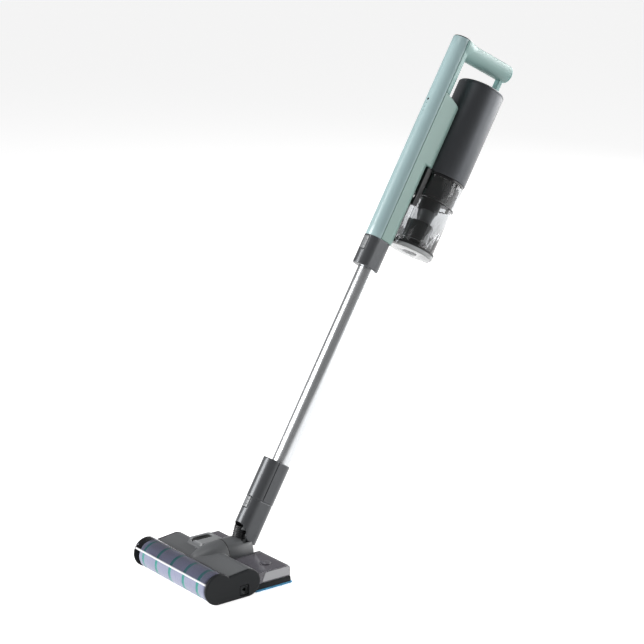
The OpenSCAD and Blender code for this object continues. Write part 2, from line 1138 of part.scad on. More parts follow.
module cup_lid() {
    color([0.85, 0.87, 0.9, 0.45]) {
        on_body(lid_low)
            difference() {
                union() {
                    cylinder(r1 = lid_r - 2, r2 = lid_r, h = 2);
                    translate([0, 0, 2])
                        cylinder(r = lid_r, h = lid_t - 2);
                    translate([-6, lid_r - 3, 0])
                        cube([12, 5.5, lid_t]);
                }
                translate([0, 0, 3])
                    cylinder(r = lid_r - 4.5, h = 10);
                translate([0, 0, -1])
                    cylinder(r = 12, h = 10);
            }
        on_stick()
            difference() {
                union() {
                    rod_x(-9, 9, hinge_n, hinge_h, 3);
                    translate([-9, hinge_n, hinge_h - 3])
                        cube([18, 7, 6]);
                }
                rod_x(-10, 10, hinge_n, hinge_h, hinge_pin_r + run_fit);
                translate([0, body_off, hinge_h - 10])
                    cylinder(r = lid_r - 2, h = 20);
            }
    }
}

module lid_hinge_pin() {
    color("silver")
        on_stick()
            rod_x(-13, 13, hinge_n, hinge_h, hinge_pin_r);
}

module lid_seal() {
    color("#101214")
        on_body(lid_low + lid_t + gap)
            ring(lid_r - 0.6, lid_r - 4.4, cup_low - lid_low - lid_t - 2 * gap);
}

module lid_hub() {
    color("#8b8d90")
        on_body(lid_low - 0.4)
            difference() {
                union() {
                    translate([0, 0, 0.35])
                        cylinder(r = hub_r, h = 5);
                    cylinder(r = 14, h = 0.3);
                    cylinder(r = hub_r, h = 0.4);
                }
                translate([0, 0, -1])
                    cylinder(r = 3.5, h = 4);
            }
}

head_housing();
sole_plate();
side_cap_left();
roller_window();
suction_duct();
brush_motor();
drive_belt();
wheel_axles();
side_cap_right();
cap_release_button();
roller_core();
roller_sleeve();
motor_pulley();
wheel_left();
wheel_right();
tank_shell();
tank_base();
mop_pad();
filler_cap();
tank_release_button();
swivel_barrel();
swivel_clip();
neck_hose();
lower_sleeve();
hose_cuff();
pivot_pins();
sleeve_button();
extension_tube();
upper_collar();
collar_button();
spine_front_shell();
spine_rear_cover();
air_duct();
battery_cells();
circuit_board();
control_panel();
power_button();
mode_button();
indicator_lenses();
grip_shell();
grip_end_cap();
grip_strut();
motor_housing();
motor_top_cap();
suction_motor();
impeller();
exhaust_filter();
inlet_duct();
cup_shell();
cup_collar();
filter_frame();
cyclone_mesh();
cyclone_cone();
dust_skirt();
cup_latch();
cup_lid();
lid_hinge_pin();
lid_seal();
lid_hub();
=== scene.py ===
import math

import bmesh
import bpy
import numpy as np
from mathutils import Matrix, Vector


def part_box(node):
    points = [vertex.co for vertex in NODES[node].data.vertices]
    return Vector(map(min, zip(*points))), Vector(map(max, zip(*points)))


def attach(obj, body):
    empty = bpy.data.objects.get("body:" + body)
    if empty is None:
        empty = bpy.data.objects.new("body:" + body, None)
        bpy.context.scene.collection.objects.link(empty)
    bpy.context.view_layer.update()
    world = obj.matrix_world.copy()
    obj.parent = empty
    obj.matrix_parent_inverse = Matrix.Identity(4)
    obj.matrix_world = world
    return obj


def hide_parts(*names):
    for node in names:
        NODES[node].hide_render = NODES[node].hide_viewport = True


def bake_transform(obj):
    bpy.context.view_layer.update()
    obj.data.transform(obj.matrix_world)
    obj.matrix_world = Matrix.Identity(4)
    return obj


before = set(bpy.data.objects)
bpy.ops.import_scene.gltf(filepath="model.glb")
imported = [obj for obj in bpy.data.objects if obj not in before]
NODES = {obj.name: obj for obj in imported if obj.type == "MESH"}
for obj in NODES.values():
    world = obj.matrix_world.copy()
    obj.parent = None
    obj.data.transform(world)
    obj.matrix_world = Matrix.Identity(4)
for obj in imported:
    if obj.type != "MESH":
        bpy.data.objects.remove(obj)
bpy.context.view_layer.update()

# ---------------------------------------------------------------- frame and driving sizes, mm
MM = 0.001
LEAN = math.radians(30.9)
PIVOT_Y, PIVOT_Z = 25.0, 64.0
WORLD = Matrix.Scale(MM, 4)
STICK = WORLD @ Matrix.Translation((0, PIVOT_Y, PIVOT_Z)) @ Matrix.Rotation(-LEAN, 4, "X")
HALF_W = 19.5
BODY_OFF = 79.1
BODY = STICK @ Matrix.Translation((0, BODY_OFF, 0))
GRIP_H = 989.0
GRIP_TILT = math.radians(6.5)
GRIP = STICK @ Matrix.Translation((0, 0, GRIP_H)) @ Matrix.Rotation(-math.pi / 2 + GRIP_TILT, 4, "X")
HOSE_N, HOSE_H = -22.4, -2.0
HOSE = STICK @ Matrix.Translation((0, HOSE_N, HOSE_H)) @ Matrix.Rotation(LEAN - math.radians(17.9), 4, "X")
BARREL_Z = 38.0
CAP_X, BODY_X = 120.0, 115.2
ROLLER_Y, ROLLER_Z, ROLLER_R = -121.5, 27.7, 26.1
LOBE_Z, LOBE_R = 28.4, 27.8
REAR_Y, REAR_Z, REAR_R = -59.5, 26.0, 25.0
DECK_X, DECK_Y, DECK_Z = -46.0, -47.0, 59.0
SEAM_N = -14.0
SPINE_FRONT, SPINE_REAR, SPINE_C = -31.8, 25.0, -12.3
SPINE_LOW, SPINE_TOP = 591.0, 1005.0
STEP_H = 899.0
MOTOR_LOW, MOTOR_R = 757.0, 46.4
TUBE_BORE, TUBE_R, TUBE_FIT = 15.5, 17.0, 17.05
SLEEVE_FRONT, SLEEVE_REAR = -36.6, 18.9
COLLAR_FRONT, COLLAR_REAR = -32.5, 21.6
# middle of the catch deck, and the oval slot for its button
PLATE_X, PLATE_Y = -38.0, -44.0
SLOT_HALF, SLOT_R = 20.5, 8.4
# walls of the moulded shells, at least two grid steps thick
HEAD_WALL, SPINE_WALL, TANK_WALL = 3.2, 3.4, 3.6
MOP_HALF_X, MOP_HALF_Y, MOP_T, MOP_CORNER = 113.0, 41.0, 3.6, 7.0
HINGE_N, HINGE_H = 29.5, 606.5
STRIPE_PITCH, STRIPE_W, STRIPE_PHASE = 44.3, 7.0, 20.09
FLOOR_HALF, FLOOR_TONE, FLOOR_GLOW = 45000.0, 0.60, 0.74
AMBIENT, SKY = 0.26, 0.92
SENSOR = 36.0
FOCAL = 1635 / 644 * SENSOR
FILLET_STEPS = 4


# ---------------------------------------------------------------- mesh helpers
def make(name, verts, faces, place):
    """A mesh object in the shared frame from points in local millimetres."""
    pts = np.asarray(verts, float)
    m = np.array(place)
    pts = pts @ m[:3, :3].T + m[:3, 3]
    mesh = bpy.data.meshes.new(name)
    mesh.from_pydata(pts.tolist(), [], [list(map(int, f)) for f in faces])
    mesh.update()
    mesh.polygons.foreach_set("use_smooth", [True] * len(mesh.polygons))
    obj = bpy.data.objects.new(name, mesh)
    bpy.context.scene.collection.objects.link(obj)
    return obj


def finish_piece(obj, body, material, replaced):
    """Gives a piece its material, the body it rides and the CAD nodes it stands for."""
    obj.data.materials.clear()
    obj.data.materials.append(material)
    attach(obj, body)
    if replaced:
        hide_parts(*replaced)
    return obj


def soften(node, body, material, width, angle=30):
    """Copy of a CAD node with its sharp edges rounded."""
    mesh = NODES[node].data.copy()
    bm = bmesh.new()
    bm.from_mesh(mesh)
    bmesh.ops.remove_doubles(bm, verts=bm.verts, dist=2e-6)
    bmesh.ops.dissolve_limit(
        bm, angle_limit=math.radians(0.4), verts=bm.verts, edges=bm.edges
    )
    for f in bm.faces:
        f.smooth = True
    bm.to_mesh(mesh)
    bm.free()
    obj = bpy.data.objects.new(node + "_rounded", mesh)
    bpy.context.scene.collection.objects.link(obj)
    obj.matrix_world = NODES[node].matrix_world.copy()
    bevel = obj.modifiers.new("edges", "BEVEL")
    bevel.width = width * MM
    bevel.segments = 3
    bevel.limit_method = "ANGLE"
    bevel.angle_limit = math.radians(angle)
    bevel.harden_normals = True
    bevel.use_clamp_overlap = True
    return finish_piece(obj, body, material, (node,))


def fillet(points, radius):
    """Closed outline with its corners rounded; radius is one number or one for each point."""
    out, count = [], len(points)
    for i, p in enumerate(points):
        r = radius[i] if isinstance(radius, (list, tuple)) else radius
        p = np.array(p, float)
        if r <= 0:
            out.append(p)
            continue
        a = np.array(points[i - 1], float) - p
        b = np.array(points[(i + 1) % count], float) - p
        la, lb = np.hypot(*a), np.hypot(*b)
        a, b = a / la, b / lb
        half = math.acos(max(-1, min(1, float(a @ b)))) / 2
        t = min(r / math.tan(half), 0.49 * la, 0.49 * lb)
        rr = t * math.tan(half)
        mid = (a + b) / np.hypot(*(a + b))
        c = p + mid * rr / math.sin(half)
        s, e = p + a * t - c, p + b * t - c
        ang = math.acos(max(-1, min(1, float(s @ e) / rr**2)))
        for k in range(FILLET_STEPS + 1):
            w = k / FILLET_STEPS
            out.append(c + (math.sin((1 - w) * ang) * s + math.sin(w * ang) * e) / math.sin(ang))
    return np.array(out)


def turn(name, profile, place, closed=True, segments=96, sharp=40):
    """Surface of revolution about local Z from (radius, height) points."""
    profile = np.asarray(profile, float)
    n = len(profile)
    ang = np.linspace(0, 2 * math.pi, segments, endpoint=False)
    verts = np.stack(
        [
            profile[None, :, 0] * np.cos(ang)[:, None],
            profile[None, :, 0] * np.sin(ang)[:, None],
            np.repeat(profile[None, :, 1], segments, 0),
        ],
        -1,
    ).reshape(-1, 3)
    faces = []
    last = n if closed else n - 1
    for i in range(segments):
        j = (i + 1) % segments
        for k in range(last):
            q = (k + 1) % n
            faces.append((i * n + k, j * n + k, j * n + q, i * n + q))
    obj = make(name, verts, faces, place)
    tidy_mesh(obj, sharp)
    return obj


def tidy_mesh(obj, sharp=None):
    """Welds doubled points, drops faces of no area and turns the faces outwards."""
    bm = bmesh.new()
    bm.from_mesh(obj.data)
    bmesh.ops.remove_doubles(bm, verts=bm.verts, dist=1e-6)
    bmesh.ops.dissolve_degenerate(bm, edges=bm.edges, dist=1e-7)
    bmesh.ops.recalc_face_normals(bm, faces=bm.faces)
    bm.to_mesh(obj.data)
    bm.free()
    if sharp is not None:
        obj.data.set_sharp_from_angle(angle=math.radians(sharp))


def loft(name, rings, place, sharp):
    """Closed skin over rings of equally many points."""
    n = len(rings[0])
    verts = np.concatenate(rings)
    faces = []
    for i in range(len(rings) - 1):
        for k in range(n):
            q = (k + 1) % n
            faces.append((i * n + k, i * n + q, (i + 1) * n + q, (i + 1) * n + k))
    faces.append(list(range(n))[::-1])
    faces.append([(len(rings) - 1) * n + k for k in range(n)])
    obj = make(name, verts, faces, place)
    tidy_mesh(obj, sharp)
    return obj


# ---------------------------------------------------------------- shapes by distance
def joined(a, b, r=0.0):
    """Union of two shapes, with the inner corner filled to radius r."""
    if np.ndim(r) == 0 and r <= 0:
        return np.minimum(a, b)
    u, v = np.maximum(r - a, 0), np.maximum(r - b, 0)
    return np.maximum(r, np.minimum(a, b)) - np.hypot(u, v)


def common(a, b, r=0.0):
    return -joined(-a, -b, r)


def cut(a, b, r=0.0):
    return common(a, -b, r)


def slab(v, low, high):
    return np.abs(v - (low + high) / 2) - (high - low) / 2


def disc(u, v, cu, cv, r):
    return np.hypot(u - cu, v - cv) - r


def stadium(x, n, front, rear, half):
    return np.hypot(x, n - np.clip(n, front + half, rear - half)) - half


def block(p, low, high, r=0.0):
    c = (np.array(low) + np.array(high)) / 2
    q = np.abs(p - c) - (np.array(high) - np.array(low)) / 2 + r
    return np.linalg.norm(np.maximum(q, 0), axis=-1) + np.minimum(q.max(-1), 0) - r


def polygon(u, v, pts):
    p = np.stack([u, v], -1)
    best, sign = np.full(len(p), 1e9), np.ones(len(p))
    for i, a in enumerate(pts):
        a, b = np.array(a, float), np.array(pts[i - 1], float)
        e, w = b - a, p - a
        t = np.clip((w @ e) / (e @ e), 0, 1)
        best = np.minimum(best, ((w - t[:, None] * e) ** 2).sum(-1))
        c1, c2 = p[:, 1] >= a[1], p[:, 1] < b[1]
        c3 = e[0] * w[:, 1] > e[1] * w[:, 0]
        flip = (c1 & c2 & c3) | (~c1 & ~c2 & ~c3)
        sign[flip] *= -1
    return sign * np.sqrt(best)


def smoothstep(v, low, high):
    t = np.clip((v - low) / (high - low), 0, 1)
    return t * t * (3 - 2 * t)


def mould(name, shape, low, high, step, place, relax=3):
    """Mesh of the surface where shape(points) is zero inside a box, points in local mm."""
    low = np.array(low, float)
    counts = [int(math.ceil((b - a) / step)) + 1 for a, b in zip(low, high)]
    axes = [a + step * np.arange(c) for a, c in zip(low, counts)]
    inside = np.empty(counts, bool)
    yy, zz = np.meshgrid(axes[1], axes[2], indexing="ij")
    for i, x in enumerate(axes[0]):
        p = np.stack([np.full(yy.size, x), yy.ravel(), zz.ravel()], -1)
        inside[i] = (shape(p) < 0).reshape(yy.shape)
    a, b, c = counts
    corners = sum(
        inside[i : a - 1 + i, j : b - 1 + j, k : c - 1 + k].astype(np.int8)
        for i in (0, 1)
        for j in (0, 1)
        for k in (0, 1)
    )
    mixed = (corners > 0) & (corners < 8)
    index = np.full(mixed.shape, -1)
    index[mixed] = np.arange(mixed.sum())
    pts = np.argwhere(mixed) * step + low + step / 2
    quads = []
    for axis in range(3):
        u, v = (axis + 1) % 3, (axis + 2) % 3
        lower = np.take(inside, range(counts[axis] - 1), axis)
        upper = np.take(inside, range(1, counts[axis]), axis)
        where = np.argwhere(lower != upper)
        keep = (where[:, u] > 0) & (where[:, v] > 0)
        keep &= (where[:, u] < counts[u] - 1) & (where[:, v] < counts[v] - 1)
        where = where[keep]
        du, dv = np.eye(3, dtype=int)[u], np.eye(3, dtype=int)[v]
        cells = [where, where - du, where - du - dv, where - dv]
        ids = np.stack([index[tuple(q.T)] for q in cells], 1)
        flip = ~lower[tuple(where.T)]
        ids[flip] = ids[flip][:, ::-1]
        quads.append(ids)
    quads = np.concatenate(quads)
    edges = np.concatenate([quads[:, [0, 1]], quads[:, [1, 2]], quads[:, [2, 3]], quads[:, [3, 0]]])
    degree = np.bincount(edges.ravel(), minlength=len(pts)).astype(float)[:, None]

    def settle(p, times):
        for _ in range(times):
            d = shape(p)
            g = np.stack([(shape(p + 0.05 * e) - d) / 0.05 for e in np.eye(3)], -1)
            move = d[:, None] * g / np.maximum((g**2).sum(-1), 0.2)[:, None]
            far = np.linalg.norm(move, axis=-1, keepdims=True)
            p = p - move * np.minimum(1, step / np.maximum(far, 1e-9))
        return p

    pts = settle(pts, 2)
    for _ in range(relax):
        total = np.zeros_like(pts)
        np.add.at(total, edges[:, 0], pts[edges[:, 1]])
        np.add.at(total, edges[:, 1], pts[edges[:, 0]])
        pts = settle(0.5 * pts + 0.5 * total / degree, 2)
    return make(name, pts, quads, place)


# ---------------------------------------------------------------- materials
def principled(material):
    return next(n for n in material.node_tree.nodes if n.type == "BSDF_PRINCIPLED")


def mix_rgb(tree, factor, a, b):
    node = tree.nodes.new("ShaderNodeMix")
    node.data_type = "RGBA"
    node.inputs[6].default_value = (*a, 1)
    node.inputs[7].default_value = (*b, 1)
    tree.links.new(factor, node.inputs[0])
    return node.outputs[2]


def srgb(text):
    vals = [int(text[i : i + 2], 16) / 255 for i in (1, 3, 5)]
    return tuple(v / 12.92 if v < 0.04045 else ((v + 0.055) / 1.055) ** 2.4 for v in vals)


def scaled(colour, k):
    return tuple(min(1.0, c * k) for c in colour)


PAINT = 0.66  # how much darker the pigments are than they look in the studio light


def surface(
    name,
    colour,
    rough,
    metal=0.0,
    vary=0.05,
    rough_vary=0.06,
    grain=0.03,
    grain_scale=1400,
    along=None,
    coat=0.0,
    clear=0.0,
    ior=1.47,
    sheen=0.0,
    specular=0.5,
):
    """Moulded, brushed or polished material: tone, roughness and bump all come from noise."""
    mat = bpy.data.materials.new(name)
    mat.use_nodes = True
    if not clear and metal < 0.5 and name != "pale_floor":
        colour = scaled(colour, PAINT)
    tree = mat.node_tree
    shader = principled(mat)
    coords = tree.nodes.new("ShaderNodeTexCoord")
    mapping = tree.nodes.new("ShaderNodeMapping")
    tree.links.new(coords.outputs["Object"], mapping.inputs["Vector"])
    if along is not None:
        mapping.vector_type = "TEXTURE"
        mapping.inputs["Rotation"].default_value = (-LEAN, 0, 0)
        mapping.inputs["Scale"].default_value = along
    broad = tree.nodes.new("ShaderNodeTexNoise")
    broad.inputs["Scale"].default_value = 14
    broad.inputs["Detail"].default_value = 3
    fine = tree.nodes.new("ShaderNodeTexNoise")
    fine.inputs["Scale"].default_value = grain_scale
    fine.inputs["Detail"].default_value = 2
    tree.links.new(mapping.outputs["Vector"], fine.inputs["Vector"])
    tree.links.new(coords.outputs["Object"], broad.inputs["Vector"])
    tone = mix_rgb(tree, broad.outputs["Fac"], scaled(colour, 1 - vary), scaled(colour, 1 + vary))
    tree.links.new(tone, shader.inputs["Base Color"])
    spread = tree.nodes.new("ShaderNodeMapRange")
    spread.inputs["To Min"].default_value = max(0.0, rough - rough_vary)
    spread.inputs["To Max"].default_value = rough + rough_vary
    tree.links.new(fine.outputs["Fac"], spread.inputs["Value"])
    tree.links.new(spread.outputs["Result"], shader.inputs["Roughness"])
    bump = tree.nodes.new("ShaderNodeBump")
    bump.inputs["Strength"].default_value = grain
    bump.inputs["Distance"].default_value = 0.0004
    tree.links.new(fine.outputs["Fac"], bump.inputs["Height"])
    tree.links.new(bump.outputs["Normal"], shader.inputs["Normal"])
    shader.inputs["Metallic"].default_value = metal
    shader.inputs["IOR"].default_value = ior
    shader.inputs["Specular IOR Level"].default_value = specular
    shader.inputs["Coat Weight"].default_value = coat
    shader.inputs["Transmission Weight"].default_value = clear
    shader.inputs["Sheen Weight"].default_value = sheen
    return mat


MINT = surface("mint_plastic", srgb("#A0B9BB"), 0.30, coat=0.15, grain=0.02)
GRIP_MINT = surface("mint_grip_satin", srgb("#88A8A4"), 0.42, grain=0.04)
# darker copy of the mint: painted shade on the strut under the grip and on the grip's end cap
MINT_PAINTED_SHADE = surface("mint_painted_shade", srgb("#7FA9A6"), 0.34)
SAGE = surface("sage_plastic", srgb("#89A69F"), 0.38, coat=0.05, grain=0.02)
HEAD_GREY = surface("satin_grey", srgb("#626466"), 0.36, grain=0.05)
SLEEVE_GREY = surface("sleeve_grey_paint", srgb("#55575A"), 0.32, metal=0.4, grain=0.05)
BUTTON_GREY = surface("button_plastic", srgb("#77797B"), 0.36)
CAP_DARK = surface("dark_satin", srgb("#26282A"), 0.45, grain=0.06, specular=0.12)
BLACK = surface("black_plastic_gloss", srgb("#141516"), 0.22)
BLACK_SATIN = surface("black_plastic_satin", srgb("#1C1D1F"), 0.42, grain=0.06)
HOSE_BLACK = surface("hose_black", srgb("#1E1F21"), 0.3, grain=0.05)
RUBBER = surface("black_rubber", srgb("#17181A"), 0.6, grain=0.12, grain_scale=900)
GRAPHITE = surface("graphite_paint", srgb("#45474A"), 0.40, metal=0.75, grain=0.05, grain_scale=2600)
ALUMINIUM = surface(
    "brushed_aluminium", srgb("#C9CBCD"), 0.27, metal=1.0, grain=0.06, grain_scale=260, along=(1, 1, 60)
)
STEEL = surface("machined_steel", srgb("#8C8F92"), 0.3, metal=1.0)
NYLON = surface("nylon", srgb("#C9C9C1"), 0.45)
BRASS = surface("spring_brass", srgb("#8C6F3A"), 0.3, metal=1.0)
CELL = surface("cell_wrap_film", srgb("#3F6FAE"), 0.35)
BOARD = surface("circuit_board_green", srgb("#2D6B3F"), 0.5)
FILTER = surface("filter_paper", srgb("#E8E8E4"), 0.8, grain=0.3, grain_scale=500)
CLEAR = surface(
    "clear_cup", (0.70, 0.71, 0.72), 0.02, rough_vary=0.01, clear=1.0, grain=0.0, ior=1.42, vary=0.01
)
WINDOW = surface(
    "tinted_window", (0.62, 0.62, 0.66), 0.02, rough_vary=0.01, clear=1.0, grain=0.0, ior=1.25, vary=0.01
)
# near-white colour on the clear lip: painted highlight along the window's front edge
LIP_PAINTED_HIGHLIGHT = surface("lip_painted_highlight", (0.82, 0.82, 0.84), 0.12, rough_vary=0.02, clear=0.35, grain=0.0, vary=0.02)
SMOKE = surface("smoky_tank", (0.115, 0.108, 0.128), 0.12, rough_vary=0.03, coat=0.4, grain=0.0, vary=0.05)
principled(SMOKE).inputs["Alpha"].default_value = 0.85
FROST = surface("frosted_lid", (0.42, 0.43, 0.43), 0.16, rough_vary=0.04, clear=0.6, grain=0.02, ior=1.4)
CONE_GREY = surface("cone_grey", srgb("#5A5C5E"), 0.4)
# lighter copy of the head grey for the deck's top: painted highlight
DECK_HIGHLIGHT_GREY = surface("deck_painted_highlight", srgb("#929496"), 0.38, grain=0.04)


def roller_material():
    """Lilac-grey pile with a teal bristle strip wound round it."""
    mat = surface("roller_pile", srgb("#8B8FA8"), 0.85, vary=0.18, grain=0.9, grain_scale=700, sheen=0.3)
    tree = mat.node_tree
    shader = principled(mat)
    coords = next(n for n in tree.nodes if n.type == "TEX_COORD")
    base = shader.inputs["Base Color"].links[0].from_socket
    split = tree.nodes.new("ShaderNodeSeparateXYZ")
    tree.links.new(coords.outputs["Object"], split.inputs[0])

    def calc(kind, a, b):
        node = tree.nodes.new("ShaderNodeMath")
        node.operation = kind
        for i, v in enumerate((a, b)):
            if v is None:
                continue
            if isinstance(v, (int, float)):
                node.inputs[i].default_value = v
            else:
                tree.links.new(v, node.inputs[i])
        return node.outputs[0]

    run = calc("DIVIDE", split.outputs[0], STRIPE_PITCH * MM)
    phase = calc("FRACT", calc("ADD", run, STRIPE_PHASE), None)
    stripe = calc("LESS_THAN", phase, STRIPE_W / STRIPE_PITCH)
    mix = tree.nodes.new("ShaderNodeMix")
    mix.data_type = "RGBA"
    mix.inputs[7].default_value = (*srgb("#15716A"), 1)
    tree.links.new(stripe, mix.inputs[0])
    tree.links.new(base, mix.inputs[6])
    tree.links.new(mix.outputs[2], shader.inputs["Base Color"])
    return mat


PILE = roller_material()
MOP = surface("mop_microfibre", srgb("#42B2E6"), 0.9, vary=0.2, grain=0.9, grain_scale=800, sheen=0.4)


# ---------------------------------------------------------------- head
def cover_outline(y, z):
    a = disc(y, z, REAR_Y, REAR_Z, REAR_R)
    b = polygon(y, z, [(-107, 2), (REAR_Y, 1), (REAR_Y, 51), (-100.5, 46.6), (-100.5, 20)])
    return np.minimum(a, b)


def head_outline(y, z):
    a = disc(y, z, ROLLER_Y, LOBE_Z, LOBE_R)
    b = polygon(y, z, [(ROLLER_Y, 0.6), (REAR_Y, 1), (REAR_Y, REAR_Z), (ROLLER_Y, LOBE_Z)])
    return np.minimum(np.minimum(a, b), cover_outline(y, z))


def dome(x, y, z):
    """Bullet-shaped front of the swivel housing."""
    r, long_r, back = 27.5, 66.0, -36.0
    s = np.minimum(y - back, 0)
    u, v, w = x / r, s / long_r, (z - BARREL_Z) / r
    k = np.sqrt(u * u + v * v + w * w)
    g = np.sqrt((u / r) ** 2 + (v / long_r) ** 2 + (w / r) ** 2)
    return k * (k - 1) / np.maximum(g, 1e-6)


def plate_outline(x, y, half_x, half_y, r, taper=0.0):
    """Rounded rectangle about the middle of the catch deck."""
    q = np.stack([np.abs(x - PLATE_X) - half_x + taper, np.abs(y - PLATE_Y) - half_y + taper], -1) + r
    return np.linalg.norm(np.maximum(q, 0), axis=-1) + np.minimum(q.max(-1), 0) - r


def key_slot(x, y):
    """Oval slot for the release button, seen from above."""
    return stadium(x - DECK_X, y - DECK_Y, -SLOT_HALF, SLOT_HALF, SLOT_R)


def housing(p):
    x, y, z = p.T
    out = cover_outline(y, z)
    body = common(out, np.abs(x) - BODY_X, 1.2)
    bullet = common(common(dome(x, y, z), y + 36, 1.0), 40 - z, 0.5)
    blend = 0.01 + 1.3 * smoothstep(z, 40, 48)
    d = joined(body, bullet, blend)
    taper = 2.5 * np.clip((z - 46) / 13, 0, 1)
    deck = common(plate_outline(x, y, 27, 26.5, 8, taper), slab(z, 45, DECK_Z), 1.2)
    deck = common(deck, (z - 50 - (y + 76) * 1.1) * 0.67, 2.5)
    d = joined(d, deck, 0.01 + 1.5 * smoothstep(z, 45, 50))
    inner = common(out + HEAD_WALL, -disc(y, z, ROLLER_Y, LOBE_Z, LOBE_R + HEAD_WALL))
    inner = np.minimum(inner, common(slab(y, -95, -45), slab(z, -6, 14)))
    d = cut(d, common(inner, np.abs(x) - 113), 0.3)
    socket = common(disc(x, z, 0, BARREL_Z, 22), slab(y, -54, -36))
    d = np.minimum(d, socket)
    d = cut(d, disc(y, z, ROLLER_Y, LOBE_Z, LOBE_R + 0.2), 0.5)
    d = cut(d, common(disc(x, z, 0, BARREL_Z, 18.1), -60 - y))
    d = cut(d, common(disc(x, z, 0, BARREL_Z, 28.3), -35.7 - y), 0.5)
    d = cut(d, common(key_slot(x, y), 47.5 - z), 0.8)
    d = cut(d, block(p, (112, -80.5, 4), (118, -58.5, 26)))
    return d


head = mould("head_housing_moulded", housing, (-117, -109, -1), (117, -16, 68), 1.3, WORLD)
finish_piece(head, "head", HEAD_GREY, ("head_housing",))


def deck_painted_highlight(p):
    """Raised plate round the release button on the deck's top; its lighter grey is a painted highlight."""
    x, y, z = p.T
    d = common(plate_outline(x, y, 23.4, 23.0, 7), slab(z, 56.0, DECK_Z + 0.5), 0.5)
    return cut(d, key_slot(x, y), 0.5)


piece = mould("deck_trim_plate", deck_painted_highlight, (-64, -69, 54), (-12, -19, 61), 1.0, WORLD)
finish_piece(piece, "head", DECK_HIGHLIGHT_GREY, ())
SWIVEL = WORLD @ Matrix.Translation((0, 0, BARREL_Z)) @ Matrix.Rotation(-math.pi / 2, 4, "X")
seal_ring = fillet([(25, -36.8), (27.75, -36.8), (27.75, -35.1), (25, -35.1)], 0.3)
finish_piece(turn("swivel_wiper_ring", seal_ring, SWIVEL), "neck", RUBBER, ())


def side_cap(p):
    x, y, z = p.T
    d = common(head_outline(y, z), x - CAP_X, 2.6)
    return common(d, BODY_X + 0.1 - x, 0.3)


def right_cap(p):
    x, y, z = p.T
    pocket = block(p, (110, -79.3, 5.2), (130, -59.7, 24.8), 3.2)
    return cut(side_cap(p), pocket, 0.7)


cap = mould("side_cap_right_moulded", right_cap, (113, -151, -1), (122, -32, 58), 1.1, WORLD)
finish_piece(cap, "roller_cap", CAP_DARK, ("side_cap_right",))
cap = mould(
    "side_cap_left_moulded",
    lambda p: side_cap(p * np.array([-1, 1, 1])),
    (-122, -151, -1),
    (-113, -32, 58),
    1.2,
    WORLD,
)
finish_piece(cap, "head", CAP_DARK, ("side_cap_left",))


def oval_key(p):
    x, y, z = p.T
    d = common(stadium(x - DECK_X, y - DECK_Y, -20.1, 20.1, 8.0), slab(z, 50.5, 58.0), 1.2)
    return cut(d, np.hypot(np.hypot(x - DECK_X, (y - DECK_Y) * 0.55), z - 78) - 21.2, 0.6)


key = mould("tank_release_button_moulded", oval_key, (-56, -69, 49), (-36, -25, 60), 0.9, WORLD)
finish_piece(key, "tank_button", BLACK, ("tank_release_button",))


def cap_key(p):
    x, y, z = p.T
    d = block(p, (114.7, -79.0, 5.5), (119.0, -60.0, 24.5), 3.4)
    d = common(d, 115.2 - x)
    d = cut(d, np.hypot(np.hypot(x - 124, y + 67), z - 15) - 8.6, 0.8)
    return cut(d, common(np.hypot(y + 66, z - 15) - 2.6, 117 - x), 0.3)


key = mould("cap_release_button_moulded", cap_key, (113, -81, 3), (120, -58, 27), 0.7, WORLD)
finish_piece(key, "cap_button", CAP_DARK, ("cap_release_button",))


# window over the roller: a bent sheet with a rolled front lip
def window_profile():
    inner, outer = 26.6, LOBE_R
    start, end = math.radians(41.8), math.radians(153)
    arc = np.linspace(start, end, 34)
    out = [(ROLLER_Y + outer * math.cos(t), LOBE_Z + outer * math.sin(t)) for t in arc]
    back = [(ROLLER_Y + inner * math.cos(t), LOBE_Z + inner * math.sin(t)) for t in arc[::-1]]
    return np.array(out + back)


def lip_profile():
    """Solid bead along the window's front edge, with its own round highlight; its near-white colour adds a
    painted highlight.
    """
    turn_at, reach, r = math.radians(153), 26.9, 1.9
    cy, cz = ROLLER_Y + reach * math.cos(turn_at), LOBE_Z + reach * math.sin(turn_at)
    bead = np.linspace(0, 2 * math.pi, 14)[:-1]
    return np.array([(cy + r * math.cos(w), cz + r * math.sin(w)) for w in bead])


window_ends = [corner.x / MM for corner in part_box("roller_window")]


def along_window(name, section, material):
    """Side section drawn out over the window's whole width."""
    xs = np.linspace(window_ends[0], window_ends[1], 7)
    rings = [np.column_stack([np.full(len(section), x), section]) for x in xs]
    finish_piece(loft(name, rings, WORLD, 50), "head", material, ("roller_window",))


along_window("roller_window_bent", window_profile(), WINDOW)
along_window("roller_window_lip", lip_profile(), LIP_PAINTED_HIGHLIGHT)


# roller sleeve: pile with a sunken strip
def pile_roller():
    low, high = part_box("roller_sleeve")
    x0, x1 = low.x / MM, high.x / MM
    around, across = 120, 150
    rng = np.random.default_rng(4)
    verts, faces = [], []
    for i in range(across + 1):
        x = x0 + (x1 - x0) * i / across
        edge = min(x - x0, x1 - x)
        base = ROLLER_R - 0.3 - (2.0 * (1 - min(edge / 3.0, 1)) ** 2)
        for j in range(around):
            t = 2 * math.pi * j / around
            ph = (x / STRIPE_PITCH + STRIPE_PHASE) % 1.0
            r = base + rng.uniform(-0.28, 0.28) - (0.5 if ph < STRIPE_W / STRIPE_PITCH else 0)
            verts.append((x, ROLLER_Y + r * math.cos(t), ROLLER_Z + r * math.sin(t)))
    for i in range(across):
        for j in range(around):
            k = (j + 1) % around
            faces.append((i * around + j, i * around + k, (i + 1) * around + k, (i + 1) * around + j))
    n = across * around
    faces.append(list(range(around))[::-1])
    faces.append([n + j for j in range(around)])
    return make("roller_sleeve_pile", verts, faces, WORLD)


roller = pile_roller()
tidy_mesh(roller)
finish_piece(roller, "roller", PILE, ("roller_sleeve",))


